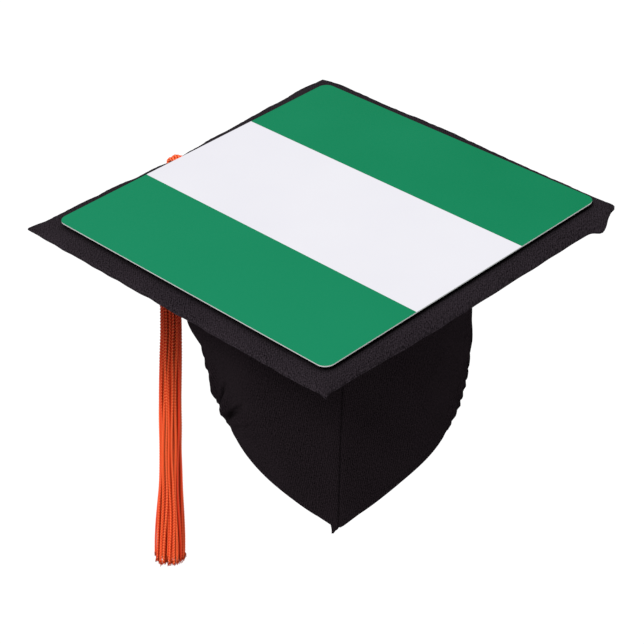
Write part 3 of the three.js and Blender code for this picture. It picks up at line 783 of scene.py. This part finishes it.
def board_sheet(top, inset=0.0):
    """One of the board's two fabrics, from the perimeter seam inwards: its points, its UVs and each
    point's distance from the edge. inset gives the same form shrunk, for the padding inside."""
    half = BOARD_HALF - inset
    places = rim_places(110, 16) * half
    a, b = lattice(places, places)
    beside = np.abs(a) > np.abs(b)
    off_a, off_b = np.where(beside, np.sign(a), 0), np.where(beside, 0, np.sign(b))  # off the nearest edge
    depth = half - np.maximum(np.abs(a), np.abs(b))
    steep = 1 - np.clip(depth / (RIM_TOP if top else RIM_UNDER), 0, 1)
    rise = np.sqrt(np.clip(1 - steep ** 2, 0, 1))
    fade = ramp(np.abs(np.abs(a) - np.abs(b)), 0, 9 * MM)
    lumps = along_edges(a, b, 9, 11) * fade * (1 - 0.6 * (a > np.abs(b)))  # the stuffing is uneven
    puckers = along_edges(a, b, 34, 31) * fade  # and the seam puckers
    seam = BOARD_BOTTOM + SEAM_RISE - SEAM_TILT * a / half
    # the padding stands up round the card, but not under the cord that presses on it
    from_cord = np.abs((a - b) * OUT[1] - (a + b) * OUT[0]) / math.sqrt(2)
    pressed = bell(from_cord, 5.5 * MM) * (((a - b) * OUT[0] + (a + b) * OUT[1]) > 0)
    crest = CREST * (1 - pressed) * bell(depth - 11.5 * MM, 7.5 * MM)
    crest = crest - (cord_dip(depth) + 0.1 * MM * (depth < CORD_DIP_REACH)) * pressed
    level = BOARD_TOP - inset + crest if top else BOARD_BOTTOM + inset
    level = level + (0.45 if top else -0.3) * MM * lumps * bell(depth, 17 * MM)
    z = seam + (level - seam) * rise + 0.18 * MM * puckers * bell(depth, 3 * MM)
    # the near right side hangs lower than the others
    low_side = bell(b / half + 1, 0.25) * ramp(a / half, -0.9, -0.3)
    z = z - 2.3 * MM * low_side * (1 - rise if top else bell(depth, 16 * MM))
    swell = (0.5 * lumps + 0.16 * puckers) * MM * bell(depth, 8 * MM)
    groove = 0.35 * MM * bell(depth, 0.35 * MM)
    push_a, push_b = off_a * (swell - groove), off_b * (swell - groove)
    x = (a + push_a - b - push_b) / math.sqrt(2)
    y = (a + push_a + b + push_b) / math.sqrt(2)
    for (cx, cy), amount in THINNING.items():
        gap = np.hypot(x - cx * HALF_DIAGONAL, y - cy * HALF_DIAGONAL)
        z = seam + (z - seam) * (1 - amount * bell(gap, 12 * MM))
    for (cx, cy), reach, (dx, dy, dz) in PULLS:
        gap = np.hypot(x - cx * HALF_DIAGONAL, y - cy * HALF_DIAGONAL)
        pull = bell(gap, reach * MM) * bell(depth, 20 * MM) * MM
        # a lifted edge lifts the seam, and the upper fabric with it
        up_pull = pull if top or dz < 0 else pull * bell(depth, 3.5 * MM)
        x, y, z = x + dx * pull, y + dy * pull, z + dz * up_pull
    # the cloth's own length round the rim is longer than the flat distance it covers
    curl = (2.4 if top else 1.2) * MM * steep ** 2
    uv = np.stack([a + off_a * curl, b + off_b * curl], -1)
    return np.stack([x, y, z], -1) + COVER_OFFSET, uv, depth


def thicken(piece, thickness):
    solid = piece.modifiers.new("thickness", "SOLIDIFY")
    solid.thickness = thickness
    solid.offset = -1


def make_cover(top):
    points, uv, _ = board_sheet(top)
    mesh = Cloth()
    mesh.grid(points, uv, flip=not top)
    cover = mesh.piece("board_fabric_top" if top else "board_fabric_under", TWILL_BOARD_PAINTED_LIGHTER)
    thicken(cover, COVER_THICKNESS)
    attach(cover, "cap", "cap_twill", *(["board_cover_top"] if top else ["board_cover_bottom", "crown_seat"]))


def make_padding(top):
    """Foam between the cover and the stiff core, wrapped a little round the core's edge."""
    points, uv, depth = board_sheet(top, inset=PAD_INSET)
    # the foam's corners are cut off, so the cover is empty there
    reach = np.abs(uv).sum(-1) - 2.4 * MM
    points[..., :2] *= np.minimum(1, 1.68 * (BOARD_HALF - PAD_INSET) / np.maximum(reach, 1e-6))[..., None]
    points[..., :2] *= 0.985
    inner = points.copy()
    thin = 0.9 * MM * np.clip(depth / (4 * MM), 0, 1)
    if top:
        inner[..., 2] = np.minimum(points[..., 2] - thin, CORE_HIGH[2] + 0.1 * MM)
    else:
        inner[..., 2] = np.maximum(points[..., 2] + thin, CORE_LOW[2] - 0.1 * MM)
    mesh = Cloth()
    mesh.grid(points, uv, flip=not top)
    mesh.grid(inner, uv, flip=top)
    pad = mesh.piece("board_foam_top" if top else "board_foam_under", FOAM)
    attach(pad, "cap", "foam", "board_padding_top" if top else "board_padding_bottom")


for is_top in (True, False):
    make_padding(is_top)
    make_cover(is_top)


# ---------- the crown ----------

RIGHT_OUTLINE = np.array([
    [0, -112], [9, -109], [34, -96], [60, -76], [78, -48],
    [86, -12], [81, 28], [61, 61], [31, 81], [0, 88],
]) * MM
CROWN_TOP = BOARD_BOTTOM
PEAK_DROP = 46 * MM
HEM_RISE_END = 0.5
HEM_DRAW_IN = {-1: 12 * MM, 1: 3 * MM}
BACK_DRAW_IN = 7 * MM
LEFT_HEM_LIFT = 12 * MM
RIDGE_SHIFT_TOP = 8 * MM
RIDGE_SHIFT_PEAK = 1 * MM
RIDGE_UPRIGHT = 0.25
SIDE_SEAM = 0.5
SIDES = ((-1, "left"), (1, "right"))


def outline():
    ring = [*RIGHT_OUTLINE, *[(-x, y) for x, y in RIGHT_OUTLINE[-2:0:-1]]]
    return spline([(x, y, 0) for x, y in ring], 0.5 * MM, closed=True)[:, :2]


OUTLINE = outline()
HALF_LENGTH = np.linalg.norm(np.diff(OUTLINE, axis=0), axis=1).sum() / 2


def on_outline(share):
    """Plan point and inward direction on the right half outline, from front (0) to back (1)."""
    place = np.linspace(0, 2, len(OUTLINE))

    def plan(share):
        return [np.interp(share, place, OUTLINE[:, k]) for k in (0, 1)]

    x, y = plan(share)
    step = 0.004
    ahead, behind = plan(np.mod(share + step, 2)), plan(np.mod(share - step, 2))
    dx, dy = ahead[0] - behind[0], ahead[1] - behind[1]
    size = np.hypot(dx, dy)
    return x, y, -dy / size, dx / size


def hem_height(side, share):
    rise = np.minimum(share / HEM_RISE_END, 1)
    beside_the_ear = ramp(share, 0.15, 0.45) * (1 - ramp(share, 0.6, 0.95))
    lift = LEFT_HEM_LIFT * beside_the_ear if side < 0 else 0
    sag = (2.2 if side < 0 else 1.2) * MM * bell(share - 0.06, 0.06)
    lift = lift - sag + (1.2 * MM * bell(share - 0.22, 0.07) if side < 0 else 0)
    return lift - PEAK_DROP * (1 - rise) * (1 - 0.12 * np.sin(np.pi * rise))


def crown_point(side, share, z, inset):
    """The crown's smooth form. inset is how deep the point lies below the fabric's outside."""
    x, y, inward_x, inward_y = on_outline(share)
    pull = HEM_DRAW_IN[side] + (BACK_DRAW_IN - HEM_DRAW_IN[side]) * ramp(share, 0.55, 1)
    depth = 1 - z / CROWN_TOP
    draw_in = pull * ramp(share, 0.12, 0.5) * np.clip(depth, 0, 2) ** 2
    x = x + inward_x * (inset + draw_in)
    y = y + inward_y * (inset + draw_in)
    peak_depth = 1 + PEAK_DROP / CROWN_TOP
    leaning = np.maximum(depth - RIDGE_UPRIGHT, 0) / (peak_depth - RIDGE_UPRIGHT)
    shift = RIDGE_SHIFT_TOP + (RIDGE_SHIFT_PEAK - RIDGE_SHIFT_TOP) * leaning
    return np.stack([side * x + shift * (1 - ramp(share, 0, 0.4)), y, z], -1)


# Single folds: where each starts and ends, as the share round from the front and the height in
# millimetres, its half width and how far it stands out, both in millimetres. Below zero is a valley.
FOLDS = {
    -1: [
        ((0.30, 4), (0.28, 26), 7.0, 1.4), ((0.27, 0), (0.24, 16), 6.0, 1.0),
        ((0.334, 8), (0.317, 42), 2.9, 4.4), ((0.319, 5), (0.280, 28), 1.35, -5.2),
        ((0.304, -2), (0.277, 19), 3.0, 3.9), ((0.294, -1), (0.228, 20), 1.35, -5.0),
        ((0.274, 1), (0.20, 13), 2.9, 2.3), ((0.25, -3), (0.11, 17), 2.8, 1.1),
        ((0.24, 8), (0.14, 27), 5.0, 0.6),
        ((0.44, 32), (0.455, 68), 4.5, 1.6), ((0.395, 16), (0.41, 62), 3.5, -1.2),
        ((0.42, 10), (0.38, 36), 2.2, 0.9), ((0.47, 12), (0.48, 30), 2.4, 0.8),
        ((0.6, 14), (0.64, 58), 5.0, 2.2), ((0.76, 8), (0.72, 50), 6.0, 2.0),
        ((0.9, 2), (0.93, 46), 6.0, 1.8),
    ],
    1: [
        ((0.41, 28), (0.425, 72), 3.0, 1.3), ((0.385, 26), (0.395, 70), 2.6, -0.8),
        ((0.34, -10), (0.31, 12), 2.2, 1.1), ((0.38, -7), (0.36, 18), 2.4, 1.3),
        ((0.44, -2), (0.43, 26), 2.6, 1.5), ((0.47, 0), (0.48, 30), 2.4, 1.4),
        ((0.24, -12), (0.12, 6), 5.0, 0.5), ((0.58, 2), (0.61, 48), 5.0, 2.0),
        ((0.7, 2), (0.68, 40), 5.0, 1.8), ((0.86, 2), (0.88, 52), 6.0, 2.0),
    ],
}
GATHER_PITCH = 7.4 * MM
CASING_HEIGHT = 10 * MM
STITCH_HEIGHT = 4 * MM  # the stitching above the front hem's edge
SETTLING_FRAMES = 18
COARSE_ROUND, COARSE_UP = 84, 40  # the settling cloth's points round the head and up the crown
CLOTH_SLACK = 0.05
ELASTIC_TOP = 0.13  # as a share of the crown's height
MOVE_LIMITS = (-0.9 * MM, 3.5 * MM)  # how far the settling cloth may move, inwards and outwards


def gathered(share):
    """How hard the elastic gathers the hem: not at the stiff front, fully from the sides back."""
    return ramp(share, 0.255, 0.34)


def fold_relief(side, share, z):
    relief = np.zeros_like(z)
    arc = share * HALF_LENGTH
    for (share_1, z_1), (share_2, z_2), width, height in FOLDS[side]:
        start = np.array([share_1 * HALF_LENGTH, z_1 * MM])
        way = np.array([share_2 * HALF_LENGTH, z_2 * MM]) - start
        length = np.hypot(*way)
        way = way / length
        along = ((arc - start[0]) * way[0] + (z - start[1]) * way[1]) / length
        across = (arc - start[0]) * way[1] - (z - start[1]) * way[0]
        taper = ramp(along, -0.2, 0.25) * (1 - ramp(along, 0.5, 1.25))
        relief = relief + height * MM * bell(across, width * MM) * taper
    return relief


def billow(side, share, z):
    """The soft sides swell out between the hem and the board, the left one in a low fold."""
    window = ramp(share, 0.22, 0.42)
    if side > 0:
        return 1.2 * MM * window * np.sin(np.pi * np.clip((z - 8 * MM) / (80 * MM), 0, 1))
    flare = 6.4 * MM * ramp(z, 33 * MM, 57 * MM) * (1 - ramp(z, 66 * MM, 92 * MM))
    return window * flare * (1 - 0.6 * ramp(share, 0.62, 0.8))


def crown_surface(side, share, v):
    """The outer fabric of the crown at a share round and a share v of the way up from the hem."""
    seed = 70 + side if share.flat[0] < SIDE_SEAM else 75 + side  # front and back have their own slack
    hem = hem_height(side, share)
    arc = share * HALF_LENGTH
    strength = gathered(share)
    puff = 0.5 + 0.5 * np.cos(2 * np.pi * arc / GATHER_PITCH + 2.2 * ripple(24, 40 + side)(share))
    calmer = 0.2 * (1 - ramp(share, 0.5, 0.6)) if side < 0 else 0
    size = (1.0 + 0.45 * ripple(27, 50 + side)(share)) * (1 - calmer)
    hem = hem + strength * size * (0.9 * puff - 0.5) * MM
    hem = hem - 1.9 * MM * np.clip(1 - arc / (13 * MM), 0, 1)  # the front seam draws down to a sharp point
    z = hem + v * (CROWN_TOP - hem)
    above = z - hem
    casing = bell(above, 8 * MM) + 0.75 * bell(above - 15 * MM, 8 * MM)
    ruffle = (2.1 if side < 0 else 1.6) * MM * size * puff * casing
    stitched = bell(above - CASING_HEIGHT, 1.3 * MM)
    drift = 2 * np.pi * arc / (2.7 * GATHER_PITCH) + 1.6 * ripple(9, 60 + side)(share + 0.35 * v)
    crease = (0.5 + 0.5 * np.cos(drift)) ** 2 * bell(above - 26 * MM, 20 * MM) * ramp(share, 0.35, 0.55)
    bulge = strength * (ruffle * (1 - 0.75 * stitched) + 1.6 * MM * crease)
    slack = 0.35 * MM * ripple(3, seed)(0.9 * share + 0.25 * v) * np.sin(np.pi * v)
    bulge = bulge + fold_relief(side, share, z) + billow(side, share, z) + slack
    # the seams lie in shallow grooves
    for seam in (0.0, SIDE_SEAM, 1.0):
        bulge = bulge - 0.85 * MM * bell((share - seam) * HALF_LENGTH, 0.8 * MM)
    bulge = bulge - 0.3 * MM * (1 - strength) * bell(above - STITCH_HEIGHT, 0.7 * MM)
    # the elastic rolls the gathered hem's edge inwards
    bulge = bulge - 1.6 * MM * strength * bell(above, 1.6 * MM)
    outside = 0.2 * MM - np.maximum(bulge, -0.95 * MM) * ramp(1 - v, 0, 0.05)
    return crown_point(side, share, z, outside), np.stack([arc * side, z], -1)


def settled(points, pinned, slack, seed):
    """How far a sheet of cloth moves when it has slack and only the pinned points are held: a cloth
    simulation on a coarse grid. Returns the move of each point, in metres."""
    rows, columns = pinned.shape
    own = np.random.default_rng(seed)
    mesh = bpy.data.meshes.new("settling")
    loose = np.where(pinned[..., None], 0, own.normal(0, 0.12 * MM, points.shape))
    mesh.from_pydata((points + loose).reshape(-1, 3).tolist(), [], grid_faces(rows, columns).tolist())
    sheet = new_object("settling", mesh)
    group = sheet.vertex_groups.new(name="pin")
    group.add(np.flatnonzero(pinned.ravel()).tolist(), 1.0, "REPLACE")
    cloth = sheet.modifiers.new("cloth", "CLOTH")
    cloth.settings.vertex_group_mass = "pin"
    settings = {"quality": 8, "mass": 0.02, "tension_stiffness": 12, "compression_stiffness": 12,
                "shear_stiffness": 4, "bending_stiffness": 0.02, "shrink_min": -slack, "shrink_max": -slack}
    for key, value in settings.items():
        setattr(cloth.settings, key, value)
    cloth.collision_settings.use_collision = False
    cloth.point_cache.frame_start = 1
    cloth.point_cache.frame_end = SETTLING_FRAMES
    for frame_number in range(1, SETTLING_FRAMES + 1):
        bpy.context.scene.frame_set(frame_number)
    seen = sheet.evaluated_get(bpy.context.evaluated_depsgraph_get())
    moved = np.empty(rows * columns * 3)
    seen.data.vertices.foreach_get("co", moved)
    bpy.context.scene.frame_set(1)
    bpy.data.objects.remove(sheet)
    bpy.data.meshes.remove(mesh)
    return moved.reshape(points.shape) - points


def spread_moves(moves, share, v, start, end):
    """The coarse grid's moves, read at each fine grid point."""
    rows, columns = moves.shape[:2]
    r = np.clip((share - start) / (end - start), 0, 1) * (rows - 1)
    c = np.clip(v, 0, 1) * (columns - 1)
    r0 = np.minimum(r.astype(int), rows - 2)
    c0 = np.minimum(c.astype(int), columns - 2)
    fr, fc = (r - r0)[..., None], (c - c0)[..., None]
    near = moves[r0, c0] * (1 - fc) + moves[r0, c0 + 1] * fc
    far = moves[r0 + 1, c0] * (1 - fc) + moves[r0 + 1, c0 + 1] * fc
    return near * (1 - fr) + far * fr


def wrinkled(side, share, v, start, end):
    """The settled cloth's moves for a fine grid of a back panel, straight off the crown's side."""
    coarse_share, coarse_v = lattice(np.linspace(start, end, COARSE_ROUND), np.linspace(0, 1, COARSE_UP))
    points, _ = crown_surface(side, coarse_share, coarse_v)
    seams = (coarse_share <= start) | (coarse_share >= end)
    moves = settled(points, seams | (coarse_v >= 1) | (coarse_v <= ELASTIC_TOP), CLOTH_SLACK, 3 + side)
    _, _, inward_x, inward_y = on_outline(coarse_share)
    out = np.stack([-side * inward_x, -inward_y, np.zeros_like(inward_x)], -1)
    amount = np.clip((moves * out).sum(-1, keepdims=True), *MOVE_LIMITS)
    return spread_moves(out * amount, share, v, start, end)


def panel_shares(start, end, count):
    """Shares from start to end, close together at both seams."""
    t = np.linspace(0, 1, count)
    even = t - 0.8 * np.sin(2 * np.pi * t) / (2 * np.pi)
    return start + (end - start) * even


def make_panel(side, word, part):
    front = part == "front"
    start, end, columns = (0.0, SIDE_SEAM, 260) if front else (SIDE_SEAM, 1.0, 280)
    rows = np.linspace(0, 1, 150) ** 1.2
    share, v = lattice(panel_shares(start, end, columns), rows)
    points, uv = crown_surface(side, share, v)
    if not front:
        points = points + wrinkled(side, share, v, start, end)
    mesh = Cloth()
    mesh.grid(points, uv, flip=side > 0)
    if front and side < 0:
        add_point_tab(mesh, points[0, 0])
    panel = mesh.piece(f"crown_panel_{part}_{word}", TWILL)
    thicken(panel, PANEL_THICKNESS)
    attach(panel, "cap", "cap_twill", f"crown_{part}_{word}")


def add_point_tab(mesh, point):
    """The seam allowance that sticks out below the front point, on the left: a small triangle."""
    across, down = lattice(np.linspace(0, 1, 8), np.linspace(0, 1, 12))
    right = -0.1 * MM - 3.0 * MM * down
    left = -4.4 * MM + 0.6 * MM * down
    x = point[0] + right + (left - right) * across
    y = point[1] - 0.4 * MM + 1.0 * MM * across + 0.6 * MM * np.sin(np.pi * down)
    z = point[2] + (0.3 + 2.4 * across) * MM * (1 - down) - (3.8 + 0.7 * across) * MM * down
    mesh.grid(np.stack([x, y, z], -1), np.stack([x, z], -1))


for side, word in SIDES:
    make_panel(side, word, "front")
    make_panel(side, word, "back")


# ---------- inside the crown ----------

LINING_INSET = 2.7 * MM


def make_facing(side, word):
    """The front hem's fabric turned up inside, over the lining's lower edge."""
    share, v = lattice(np.linspace(0.004, 0.49, 180), np.linspace(0, 1, 26))
    hem = hem_height(side, share)
    z = hem + (0.4 + 13.6 * v) * MM
    inset = (0.9 + 2.9 * ramp(v, 0.0, 0.22)) * MM + 0.15 * MM * ripple(30, 80 + side)(share)
    mesh = Cloth()
    mesh.grid(crown_point(side, share, z, inset), np.stack([share * HALF_LENGTH, z], -1), flip=side < 0)
    facing = mesh.piece(f"front_hem_facing_{word}", TWILL)
    thicken(facing, COVER_THICKNESS)
    attach(facing, "cap", "cap_twill", f"hem_facing_{word}")


def make_lining(side, word):
    """The lining hangs from under the board with soft folds, and is gathered with the back hem."""
    share, v = lattice(np.linspace(0, 1, 330), np.linspace(0, 1, 90))
    low = hem_height(side, share) + 1.2 * MM
    high = CROWN_TOP - 1.2 * MM
    z = low + v * (high - low)
    belly = np.sin(np.pi * np.clip((v - 0.12) / 0.88, 0, 1)) ** 1.3
    folds = 0.5 + 0.5 * ripple(16, 90 + side)(share + 0.06 * v)
    tucks = 2 * np.pi * share * HALF_LENGTH / (6.3 * MM) + 2 * ripple(20, 95 + side)(share)
    tucks = 0.5 + 0.5 * np.cos(tucks)
    casing = bell(z - low - 12 * MM, 9 * MM)
    inward = belly * (0.7 + 2.6 * folds) * MM + gathered(share) * 1.5 * MM * tucks * casing
    points = crown_point(side, share, z, LINING_INSET + inward)
    mesh = Cloth()
    mesh.grid(points, np.stack([share * HALF_LENGTH, z], -1), flip=side < 0)
    lining = mesh.piece(f"crown_lining_cloth_{word}", LINING)
    thicken(lining, LINING_THICKNESS)
    attach(lining, "cap", "lining", f"crown_lining_{word}")


for side, word in SIDES:
    make_facing(side, word)
    make_lining(side, word)


def make_stitching():
    """Thread: one line of stitches above the front hem, one along the elastic's casing."""
    mesh = Cloth()
    stitch, gap = 2.3 * MM, 0.9 * MM
    for side, _ in SIDES:
        count = int(HALF_LENGTH / (stitch + gap))
        for k in range(1, count - 1):
            share = (k * (stitch + gap) + np.linspace(0, stitch, 5)) / HALF_LENGTH
            if 0.27 < share[0] < 0.33:
                continue  # the line breaks off where it would jump up to the casing
            height = STITCH_HEIGHT if share[0] < 0.30 else CASING_HEIGHT
            v = height / (CROWN_TOP - hem_height(side, share))
            line, _ = crown_surface(side, share, v)
            outward = line - crown_point(side, share, line[:, 2], 1 * MM)
            outward = outward / np.linalg.norm(outward, axis=1)[:, None]
            lift = np.array([-0.3, 0.02, 0.08, 0.02, -0.3])[:, None] * MM
            mesh.tube(line + outward * lift, 0.17 * MM, sides=5)
    attach(mesh.piece("crown_stitching", THREAD), "cap", "cap_twill")


make_stitching()


# ---------- floor and light ----------

FLOOR_HALF = 45.0
FLOOR_DROP = 2.0  # below the object, so that its shadow falls outside the front view
SUN_FROM = Vector((-0.40, -0.80, 1.3))
SUN_STRENGTH = 2.75
SUN_DEGREES = 22  # how broad the sun is, for soft shadows
WORLD_STRENGTH = 0.38


def make_floor():
    mesh = bpy.data.meshes.new("floor")
    z = cad_bounds[0][2] - FLOOR_DROP
    corners = [(FLOOR_HALF * x, FLOOR_HALF * y, z) for x, y in ((-1, -1), (1, -1), (1, 1), (-1, 1))]
    mesh.from_pydata(corners, [], [(0, 1, 2, 3)])
    paint = Paint("pale_floor")
    paint.set(Base_Color=(0.96, 0.96, 0.96, 1), Roughness=1.0, Specular_IOR_Level=0.0)
    mesh.materials.append(paint.material)
    new_object("floor", mesh)


def make_light():
    """A broad sun, and an even white world round it."""
    sun = bpy.data.lights.new("key", "SUN")
    sun.energy = SUN_STRENGTH
    sun.angle = math.radians(SUN_DEGREES)
    new_object("key", sun).rotation_euler = (-SUN_FROM).to_track_quat("-Z", "Y").to_euler()
    world = bpy.data.worlds.new("world")
    world.use_nodes = True
    sky = world.node_tree.nodes["Background"].inputs
    sky["Color"].default_value = (1, 1, 1, 1)
    sky["Strength"].default_value = WORLD_STRENGTH
    bpy.context.scene.world = world


make_floor()
make_light()
bpy.context.scene.view_settings.view_transform = "Standard"


# ---------- CAD nodes that stay: better materials ----------

def repaint(material, *names):
    for name in names:
        node = frame["nodes"][name]
        node.data.materials.clear()
        node.data.materials.append(material)


repaint(CARD, "topper_card")
repaint(CORE_BOARD, "board_core")
repaint(CANVAS, "front_stiffener_left", "front_stiffener_right")
repaint(STEEL, "button_back", "button_shank", "button_washer")
repaint(PILE, *[f"{kind}_dot_{k}" for kind in ("hook", "loop") for k in (1, 2, 3, 4)])
repaint(LINING, "crown_tip")
repaint(ELASTIC, "elastic_band_left", "elastic_band_right")
repaint(BUTTON_CLOTH, "button_cap")
